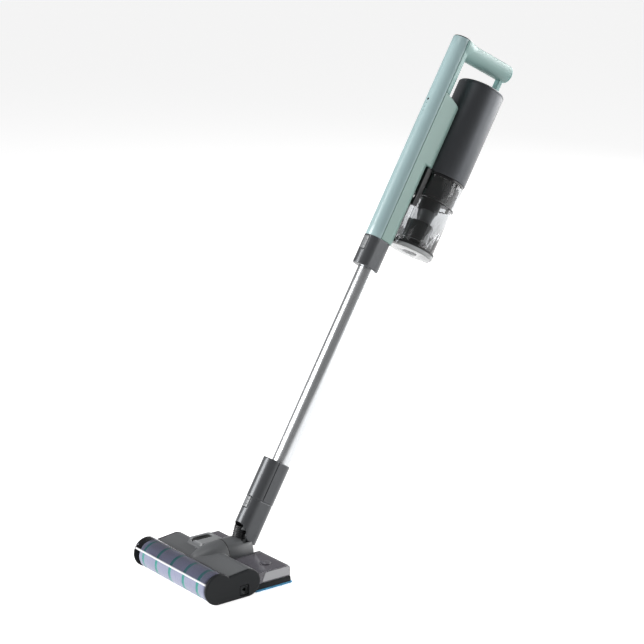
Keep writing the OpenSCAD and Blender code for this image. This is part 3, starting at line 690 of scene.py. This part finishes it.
# mop pad: a thin quilted microfibre slab with looped edges
def mop():
    w, l, t = MOP_HALF_X, MOP_HALF_Y, MOP_T
    across, along = 150, 56
    rng = np.random.default_rng(8)

    def edge(u, v):
        """Square parameters to the pad's rounded rectangle."""
        x, y = u * w, v * l
        r = MOP_CORNER
        cx, cy = max(abs(x) - (w - r), 0), max(abs(y) - (l - r), 0)
        if cx > 0 and cy > 0:
            k = max(cx, cy) / max(math.hypot(cx, cy), 1e-9)
            x = math.copysign(w - r + cx * k, x)
            y = math.copysign(l - r + cy * k, y)
        return x, y

    verts, faces = [], []
    for side in (1, 0):
        for i in range(across + 1):
            for j in range(along + 1):
                u, v = 2 * i / across - 1, 2 * j / along - 1
                x, y = edge(u, v)
                near = min(w - abs(x), l - abs(y))
                crown = 1 - max(0, 1 - near / 2.2) ** 2
                rib = 0.22 * math.sin((x + 0.6 * y) * 2 * math.pi / 5.0) if near > 0.8 else 0
                if side:
                    z = t / 2 + (t / 2 - 0.25) * crown + rib * 0.6
                else:
                    z = t / 2 - (t / 2 - 0.05) * crown + 0.12 * abs(rib)
                if near < 0.01:
                    z = t / 2
                verts.append((x, y, max(z, 0.02)))
    n = (across + 1) * (along + 1)
    for s in (0, 1):
        for i in range(across):
            for j in range(along):
                a = s * n + i * (along + 1) + j
                q = (a, a + along + 1, a + along + 2, a + 1)
                faces.append(q if s == 0 else q[::-1])
    # looped pile round the edge
    loops = 420
    for k in range(loops):
        f = 4 * k / loops
        s, q = int(f), 2 * (f - int(f)) - 1
        u, v = [(q, -1), (1, q), (-q, 1), (-1, -q)][s]
        x, y = edge(u, v)
        cx, cy = np.sign(u) if abs(u) == 1 else 0, np.sign(v) if abs(v) == 1 else 0
        jit = rng.uniform(-1, 1, 3)
        base = np.array([x * 0.996, y * 0.985, t / 2])
        tip = base + np.array([cx * 1.5, cy * 1.5, 0]) + np.array([jit[0], jit[1], 0]) * 0.5
        tip[2] = t / 2 + jit[2] * 1.1
        side = np.array([-cy, cx, 0]) * 0.55
        b = len(verts)
        verts += [base - side, base + side, tip + side * 0.6, tip - side * 0.6]
        verts += [(p[0], p[1], p[2] + 0.9) for p in verts[b : b + 4]]
        for q4 in ((0, 1, 2, 3), (7, 6, 5, 4), (0, 4, 5, 1), (1, 5, 6, 2), (2, 6, 7, 3), (3, 7, 4, 0)):
            faces.append(tuple(b + c for c in q4))
    return make("mop_pad_cloth", verts, faces, WORLD)


pad = mop()
tidy_mesh(pad)
finish_piece(pad, "tank", MOP, ("mop_pad",))


# ---------------------------------------------------------------- neck
def hose_profile():
    low, high, pitch = -30.0, 9.0, 3.3
    pts = []
    steps = int((high - low) / pitch * 10)
    for i in range(steps + 1):
        z = low + (high - low) * i / steps
        wave = 0.5 + 0.5 * math.cos(2 * math.pi * z / pitch)
        pts.append((10.9 + 1.05 * wave**0.6, z))
    return np.array(pts + [(9.6, high), (9.6, low)])


hose = turn("neck_hose_corrugated", hose_profile(), HOSE, segments=64, sharp=70)
hose.data.materials.append(HOSE_BLACK)
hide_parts("neck_hose")
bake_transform(hose)


hose_dir = (np.array(HOSE.to_3x3()) / MM)[:, 2]
hose_foot = np.array(HOSE.translation) / MM
stick_inv = np.array((STICK.inverted() @ WORLD))


def cuff(p):
    """Collar that holds the hose inside the sleeve, in world millimetres."""
    rel = p - hose_foot
    run = rel @ hose_dir
    off = np.linalg.norm(rel - run[:, None] * hose_dir, axis=1)
    x, n, h = (p @ stick_inv[:3, :3].T + stick_inv[:3, 3]).T
    d = common(off - 15.4, slab(run, 3.4, 22), 1.2)
    d = common(d, stadium(x, n, -34.0, 16.3, 16.9), 0.8)
    return cut(d, off - 12.4, 0.6)


piece = mould("hose_cuff_moulded", cuff, (-18, -18, 68), (18, 30, 104), 1.0, WORLD)
finish_piece(piece, "stick", HEAD_GREY, ("hose_cuff",))


# ---------------------------------------------------------------- lower sleeve and upper collar
def sleeve(p):
    x, n, h = p.T
    lower = 0.45 * smoothstep(-h, -61.9, -60.9)
    d = stadium(x, n, SLEEVE_FRONT, SLEEVE_REAR, HALF_W) + lower
    d = common(d, h - 139, 1.2)
    d = common(d, -17.3 - h, 3.0)
    inner = common(stadium(x, n, -34.1, 16.4, 17.0), h - 30)
    d = cut(d, inner, 0.4)
    d = cut(d, np.hypot(x, n) - TUBE_BORE)
    d = cut(d, common(np.hypot(x, n) - TUBE_FIT, 66 - h))
    d = cut(d, disc(n, h, -42, -11, 22.5), 1.8)
    d = cut(d, polygon(n, h, [(-40, -30), (-6.4, -30), (-6.4, -17.3), (-19.5, -10), (-40, -5)]), 1.5)
    d = cut(d, block(p, (-7.0, -60, 40.5), (7.0, -25.6, 62.5), 1.4), 0.5)
    skin = -(stadium(x, n, SLEEVE_FRONT, SLEEVE_REAR, HALF_W) + 1.3)
    d = cut(d, common(np.abs(h - 61.4) - 0.7, skin), 0.2)
    seam_line = common(np.abs(n + 17.5) - 0.6, 61.4 - h)
    return cut(d, common(seam_line, skin), 0.2)


piece = mould("lower_sleeve_moulded", sleeve, (-22, -40, -20), (22, 22, 142), 1.15, STICK)
finish_piece(piece, "stick", SLEEVE_GREY, ("lower_sleeve",))


def collar(p):
    x, n, h = p.T
    d = stadium(x, n, COLLAR_FRONT, COLLAR_REAR, HALF_W)
    d = common(common(d, h - 590.9, 0.6), 533 - h, 1.4)
    d = cut(d, np.hypot(x, n) - TUBE_BORE)
    d = cut(d, common(np.hypot(x, n) - TUBE_FIT, h - 578.2), 0.5)
    return cut(d, block(p, (-7.5, -60, 562.0), (7.5, -21.5, 589.0), 1.4), 0.5)


piece = mould("upper_collar_moulded", collar, (-22, -36, 530), (22, 25, 593), 1.2, STICK)
finish_piece(piece, "stick", SLEEVE_GREY, ("upper_collar",))


def button(front, centre, half_x, half_h):
    """Release button that follows the sleeve's front, with two raised grip lines."""

    def shape(p):
        x, n, h = p.T
        d = common(stadium(x, n, front + 0.3, 18, HALF_W - 0.3), n - (front + 5), 0.2)
        edge = np.maximum(np.abs(x) - half_x, np.abs(h - centre) - half_h)
        d = common(d, edge, 0.9)
        for s in (-1, 1):
            d = cut(d, np.maximum(np.abs(h - centre - s * half_h * 0.38) - 0.45, n - front - 1.0), 0.3)
        return d

    return shape


for name, node, body, front, centre, half_x, half_h in (
    ("sleeve_button_moulded", "sleeve_button", "lower_release", SLEEVE_FRONT, 51.5, 6.5, 10.5),
    ("collar_button_moulded", "collar_button", "upper_release", COLLAR_FRONT, 575.5, 7.0, 13.0),
):
    piece = mould(
        name,
        button(front, centre, half_x, half_h),
        (-9, front - 2, centre - half_h - 2),
        (9, front + 7, centre + half_h + 2),
        0.75,
        STICK,
    )
    finish_piece(piece, body, BUTTON_GREY, (node,))

tube_ring = fillet([(TUBE_BORE, 66.1), (TUBE_R, 66.1), (TUBE_R, 578), (TUBE_BORE, 578)], 0.3)
tube = turn("extension_tube_drawn", tube_ring, STICK, segments=128)
finish_piece(tube, "stick", ALUMINIUM, ("extension_tube",))


# ---------------------------------------------------------------- spine, grip and strut
def front_shell_ring(inset):
    """C-shaped section of the front shell, drawn in by an inset."""
    r_out, r_in = HALF_W - inset, HALF_W - 2.2 + inset
    cut_n = SEAM_N - 0.15 - inset
    a_out = math.acos((cut_n - SPINE_C) / r_out)
    a_in = math.acos((cut_n - SPINE_C) / r_in)
    outer = [
        (r_out * math.sin(t), SPINE_C + r_out * math.cos(t))
        for t in np.linspace(a_out + 0.03, 2 * math.pi - a_out - 0.03, 61)
    ]
    inner = [
        (r_in * math.sin(t), SPINE_C + r_in * math.cos(t))
        for t in np.linspace(2 * math.pi - a_in, a_in, 61)
    ]
    lip = [(outer[-1][0] * 0.985, cut_n)]
    start = [(outer[0][0] * 0.985, cut_n)]
    return np.array(start + outer + lip + inner)


levels = [(SPINE_LOW, 0.5), (SPINE_LOW + 0.15, 0.2), (SPINE_LOW + 0.5, 0.0)]
levels += [(h, 0.0) for h in np.linspace(SPINE_LOW + 20, SPINE_TOP - 20, 12)]
levels += [(SPINE_TOP - 0.6, 0.0), (SPINE_TOP - 0.15, 0.25), (SPINE_TOP, 0.6)]
rings = []
for h, inset in levels:
    flat = front_shell_ring(inset)
    rings.append(np.column_stack([flat, np.full(len(flat), h)]))
piece = loft("spine_front_shell_lofted", rings, STICK, 45)
finish_piece(piece, "stick", MINT, ("spine_front_shell",))


def step_plane(n, h):
    """Height above the curved step where the rear cover ends."""
    t = np.clip((n - SEAM_N) / 50, 0, 1)
    return h - (STEP_H - 3 - 12.0 * t ** 1.3)


def rear_cover(p):
    x, n, h = p.T
    out = stadium(x, n, SPINE_FRONT, SPINE_REAR, HALF_W)
    hollow = common(out + SPINE_WALL, slab(h, MOTOR_LOW - 1 - 200, STEP_H - 15))
    bulge = stadium(x, n, SPINE_FRONT, 40, HALF_W)
    d = joined(out, common(bulge, slab(h, MOTOR_LOW + 1, 960), 1.5), 0.2)
    d = common(d, SEAM_N + 0.15 - n, 0.5)
    d = common(d, SPINE_LOW - h, 0.6)
    d = common(d, step_plane(n, h), 1.8)
    d = cut(d, hollow, 0.3)
    d = cut(d, common(disc(x, n, 0, BODY_OFF, MOTOR_R + 0.1), 500 - h))
    return cut(d, common(disc(x, h, 0, 700, 12), 10 - n))


piece = mould("spine_rear_cover_moulded", rear_cover, (-22, -17, 588), (22, 40, 905), 1.5, STICK)
finish_piece(piece, "stick", SAGE, ("spine_rear_cover",))


def grip_axis(n, h):
    """Distance from the grip's axis in the plane of the stick, and the length along it."""
    c, s = math.cos(GRIP_TILT), math.sin(GRIP_TILT)
    return (h - GRIP_H) * c - n * s, n * c + (h - GRIP_H) * s


def grip(p):
    x, n, h = p.T
    off, run = grip_axis(n, h)
    neck = np.hypot(x, n - SPINE_C) - HALF_W
    neck = common(neck, h - SPINE_TOP, 0.8)
    tube_d = np.hypot(x, off) - 18.3
    tube_d = common(tube_d, run - 118, 1.0)
    tube_d = common(tube_d, -13 - run)
    blend = 1.0 + 15 * smoothstep(off, -12, 10)
    d = joined(neck, tube_d, blend)
    d = common(d, h - SPINE_TOP - 14 * smoothstep(n, 7, 24), 0.8)
    d = common(d, SEAM_N + 0.15 - n, 0.5)
    d = common(d, -step_plane(n, h) + 0.5, 0.8)
    d = cut(d, common(np.hypot(x, n - SPINE_C) - HALF_W + SPINE_WALL, slab(h, 860, 1100)))
    return cut(d, common(np.hypot(x, off) - 14.8, 4 - run))


piece = mould("grip_shell_moulded", grip, (-22, -17, 880), (22, 122, 1024), 1.5, STICK)
finish_piece(piece, "stick", GRIP_MINT, ("grip_shell",))


def panel_profile():
    """Half section of the round control panel, rim included."""
    top = SPINE_TOP
    seat = [(0, top - 5), (17, top - 5), (17, top - 0.4)]
    rim = [(19.3, top + 0.1), (18.3, top + 1.8), (0, top + 2.2)]
    return fillet(seat + rim, [0, 0.2, 0.2, 0.3, 0.6, 0])


spine_axis = STICK @ Matrix.Translation((0, SPINE_C, 0))
piece = turn("control_panel_turned", panel_profile(), spine_axis, closed=False)
finish_piece(piece, "stick", BLACK, ("control_panel",))

cap_profile = fillet([(0, 118.1), (17.9, 118.1), (17.9, 122.4), (0, 122.4)], [0, 0.5, 1.8, 0])
piece = turn("grip_end_cap_turned", cap_profile, GRIP, closed=False)
finish_piece(piece, "stick", MINT_PAINTED_SHADE, ("grip_end_cap",))
soften("grip_strut", "stick", MINT_PAINTED_SHADE, 0.8)


# ---------------------------------------------------------------- motor housing
profile = [(44, MOTOR_LOW), (MOTOR_R, MOTOR_LOW), (MOTOR_R, 944), (44, 944)]
piece = turn("motor_housing_turned", fillet(profile, [0.3, 1.2, 0.4, 0.3]), BODY, segments=160)
finish_piece(piece, "stick", GRAPHITE, ("motor_housing",))
soften("motor_top_cap", "stick", GRAPHITE, 0.5)


# ---------------------------------------------------------------- dust cup, turned parts
def ring_part(name, node, body, mat, points, radii):
    part = turn(name, fillet(points, radii), BODY, segments=128)
    return finish_piece(part, body, mat, (node,))


soften("cup_shell", "dust_cup", CLEAR, 0.35, angle=40)
ring_part(
    "cup_collar_turned", "cup_collar", "dust_cup", BLACK,
    [(30, 751.1), (45, 751.1), (45, 756.6), (30, 756.6)], 0.6,
)
soften("filter_frame", "dust_cup", BLACK_SATIN, 0.5)
ring_part(
    "cyclone_cone_turned", "cyclone_cone", "dust_cup", CONE_GREY,
    [(11.8, 666), (13.8, 666), (18, 688.9), (16.2, 688.9)], 0.4,
)
ring_part(
    "dust_skirt_turned", "dust_skirt", "dust_cup", BLACK_SATIN,
    [
        (22.5, 628), (27.5, 628), (27.5, 632), (25, 632.4), (25, 664),
        (13, 665.8), (1, 665.8), (1, 662), (22.5, 662),
    ],
    [0.3, 0.8, 0.8, 0.4, 1.5, 0.4, 0.2, 0.2, 0.5],
)
seam_ring = fillet([(44.6, 703.4), (45.35, 703.4), (45.35, 705.4), (44.6, 705.4)], 0.3)
piece = turn("cup_seam_ring", seam_ring, BODY, segments=128)
finish_piece(piece, "dust_cup", RUBBER, ())
soften("cup_latch", "cup_catch", BLACK_SATIN, 0.35)
soften("cup_lid", "cup_door", FROST, 0.5, angle=40)
ring_part(
    "lid_seal_moulded", "lid_seal", "cup_door", RUBBER,
    [(40.8, 609.9), (45.0, 609.9), (45.0, 613.8), (42.7, 613.8), (42.7, 611.9), (40.8, 611.9)], 0.4,
)
ring_part(
    "lid_hub_turned", "lid_hub", "cup_door", CONE_GREY,
    [(3.5, 601.6), (14, 601.6), (14, 601.95), (11.9, 602.3), (11.9, 607), (3.5, 607)],
    [0.3, 0.2, 0, 0, 0.5, 0.3],
)
plug = fillet([(0, 602.2), (2.6, 602.2), (3.4, 602.8), (3.4, 606), (0, 606)], [0, 0.2, 0.2, 0.2, 0])
piece = turn("lid_hub_plug", plug, BODY, closed=False)
finish_piece(piece, "cup_door", RUBBER, ())
HINGE = STICK @ Matrix.Translation((0, HINGE_N, HINGE_H)) @ Matrix.Rotation(math.pi / 2, 4, "Y")
knuckle = [(1.6, -9.2), (3.4, -9.2), (3.4, -3.6), (2.9, -3), (2.9, 3), (3.4, 3.6), (3.4, 9.2), (1.6, 9.2)]
piece = turn("lid_hinge_knuckle", fillet(knuckle, 0.3), HINGE)
finish_piece(piece, "cup_door", BLACK_SATIN, ())
soften("inlet_duct", "stick", BLACK_SATIN, 0.8)


def mesh_screen():
    """Perforated strainer of the cyclone: fine ribs round a sleeve."""
    radius, low, high = 20.5, 689.0, 749.0
    pts = [(19.2, low), (19.9, low)]
    z = low
    while z < high - 3:
        pts += [(19.9, z + 0.8), (radius, z + 1.1), (radius, z + 1.9), (19.9, z + 2.2)]
        z += 3
    pts += [(19.9, high), (19.2, high)]
    return turn("cyclone_mesh_ribbed", pts, BODY, segments=96, sharp=30)


finish_piece(mesh_screen(), "dust_cup", BLACK_SATIN, ("cyclone_mesh",))


# ---------------------------------------------------------------- tank and small head parts
TANK_X, TANK_TOP, TANK_SEAM = 112.0, 35.6, 13.8


def tank_outline(y, z):
    d = polygon(y, z, [(-36.6, TANK_SEAM), (36, TANK_SEAM), (36, TANK_TOP), (-36.6, TANK_TOP)])
    corner = common(y - 36, z - TANK_TOP, 7.2)
    return cut(common(d, corner), disc(y, z, REAR_Y, REAR_Z, REAR_R + 0.8))


def tank(p):
    x, y, z = p.T
    out = tank_outline(y, z)
    d = common(out, np.abs(x) - TANK_X, 2.2)
    valley = np.minimum(
        common(disc(x, z, 0, BARREL_Z, 28.5), y - 17), common(disc(x, z, 0, BARREL_Z, 22.5), 16 - y)
    )
    d = cut(d, valley, 1.0)
    inner = common(out + TANK_WALL, np.abs(x) - TANK_X + TANK_WALL, 1.5)
    inner = cut(inner, valley - TANK_WALL, 0.5)
    d = cut(d, inner)
    return cut(d, common(np.hypot(x - 80, y - 4) - 8, 25 - z))


piece = mould("tank_shell_moulded", tank, (-114, -38, 12), (114, 38, 37), 1.6, WORLD, relax=2)
finish_piece(piece, "tank", SMOKE, ("tank_shell",))
PANEL = surface("tank_side_panel", srgb("#A6A6A9"), 0.16, coat=0.4, vary=0.1)


def side_panel(sign):
    def shape(p):
        x, y, z = p.T
        d = common(tank_outline(y, z) + 2.6, 16.2 - z, 1.5)
        d = common(d, (-26 - y + (z - 16) * 0.45) * 0.9, 1.5)
        return common(d, slab(sign * x, 110.8, 112.25), 0.3)

    return shape


for name, sign in (("tank_panel_right", 1), ("tank_panel_left", -1)):
    low, high = sorted((sign * 110.0, sign * 113.0))
    plate = mould(name, side_panel(sign), (low, -30, 13), (high, 38, 36), 0.7, WORLD, relax=1)
    finish_piece(plate, "tank", PANEL, ("tank_shell",))
soften("tank_base", "tank", CAP_DARK, 0.7)
for node, body, mat, width, slot in (
    ("filler_cap", "filler_plug", SMOKE, 0.5, "cap_dark"),
    ("sole_plate", "head", CAP_DARK, 0.5, "cap_dark"),
    ("swivel_barrel", "neck", HEAD_GREY, 0.9, "head_grey"),
    ("wheel_left", "left_wheel", RUBBER, 0.9, "black_plastic"),
    ("wheel_right", "right_wheel", RUBBER, 0.9, "black_plastic"),
    ("power_button", "power_key", BUTTON_GREY, 0.6, "button_grey"),
    ("mode_button", "mode_key", BUTTON_GREY, 0.5, "button_grey"),
):
    soften(node, body, mat, width)

# ---------------------------------------------------------------- CAD parts kept as they are
KEPT = {
    "brush_motor": STEEL, "drive_belt": RUBBER, "wheel_axles": STEEL, "roller_core": NYLON,
    "motor_pulley": STEEL, "suction_duct": BLACK_SATIN, "swivel_clip": BRASS, "pivot_pins": SLEEVE_GREY,
    "air_duct": BLACK_SATIN, "battery_cells": CELL, "circuit_board": BOARD,
    "indicator_lenses": BLACK, "suction_motor": STEEL, "impeller": NYLON,
    "exhaust_filter": FILTER, "lid_hinge_pin": STEEL,
}
for node, mat in KEPT.items():
    NODES[node].data.materials.clear()
    NODES[node].data.materials.append(mat)

# ---------------------------------------------------------------- floor, light and camera
floor_corners = [(x * FLOOR_HALF, y * FLOOR_HALF, 0) for x, y in ((-1, -1), (1, -1), (1, 1), (-1, 1))]
floor = make("studio_floor", floor_corners, [(0, 1, 2, 3)], WORLD)
floor.data.materials.append(
    surface("pale_floor", (FLOOR_TONE, FLOOR_TONE, FLOOR_TONE), 0.6, vary=0.004, rough_vary=0.03, grain=0.0, specular=0.1)
)
glow = principled(floor.data.materials[0])
glow.inputs["Emission Color"].default_value = (1, 1, 1, 1)
glow.inputs["Emission Strength"].default_value = FLOOR_GLOW


def studio_world():
    """Weak ambient light; the camera sees a sky as pale as the floor, which adds no light of its own."""
    world = bpy.data.worlds.new("studio")
    bpy.context.scene.world = world
    world.use_nodes = True
    nodes, links = world.node_tree.nodes, world.node_tree.links
    ambient = nodes["Background"]
    ambient.inputs[0].default_value = (1, 1, 1, 1)
    ambient.inputs[1].default_value = AMBIENT
    sky = nodes.new("ShaderNodeBackground")
    sky.inputs[0].default_value = (1, 1, 1, 1)
    sky.inputs[1].default_value = SKY
    seen = nodes.new("ShaderNodeLightPath")
    blend_sky = nodes.new("ShaderNodeMixShader")
    links.new(seen.outputs["Is Camera Ray"], blend_sky.inputs[0])
    links.new(ambient.outputs[0], blend_sky.inputs[1])
    links.new(sky.outputs[0], blend_sky.inputs[2])
    links.new(blend_sky.outputs[0], nodes["World Output"].inputs["Surface"])


studio_world()
bpy.context.scene.view_settings.view_transform = "Standard"

AIM = Vector((0.0, 0.2, 0.45))


def softbox(name, azimuth, elevation, distance, width, height, power):
    """Area light placed round the object; azimuth 0 looks along +Y, 90 along -X."""
    a, e = math.radians(azimuth), math.radians(elevation)
    data = bpy.data.lights.new(name, "AREA")
    data.shape, data.size, data.size_y, data.energy = "RECTANGLE", width, height, power
    lamp = bpy.data.objects.new(name, data)
    bpy.context.scene.collection.objects.link(lamp)
    back = Vector((math.sin(a) * math.cos(e), -math.cos(a) * math.cos(e), math.sin(e)))
    lamp.location = AIM + back * distance
    lamp.rotation_mode = "QUATERNION"
    lamp.rotation_quaternion = (-back).to_track_quat("-Z", "Y")


softbox("key_left", -26, 20, 4.2, 2.2, 3.2, 300)
softbox("strip_right", 130, 14, 4.2, 1.2, 3.2, 50)
softbox("rim_right", 174, 14, 4.5, 4.4, 3.4, 320)
softbox("top_soft", 10, 76, 4.2, 2.0, 2.0, 30)


def place_camera():
    """Camera at the photograph's angle, with its slight roll."""
    lens = bpy.data.cameras.new("camera")
    lens.sensor_width, lens.lens = SENSOR, FOCAL
    lens.clip_start, lens.clip_end = 0.05, 60
    camera = bpy.data.objects.new("camera", lens)
    bpy.context.scene.collection.objects.link(camera)
    eye = Vector((2.3258, -1.5744, 1.1025))
    look = (Vector((-0.0024, 0.1955, 0.434)) - eye).normalized()
    right = look.cross(Vector((0, 0, 1))).normalized()
    up = right.cross(look)
    roll = math.radians(-0.23)
    side = right * math.cos(roll) + up * math.sin(roll)
    top = side.cross(look)
    axes = Matrix((side, top, -look)).transposed().to_4x4()
    camera.matrix_world = Matrix.Translation(eye) @ axes
    bpy.context.scene.camera = camera


place_camera()
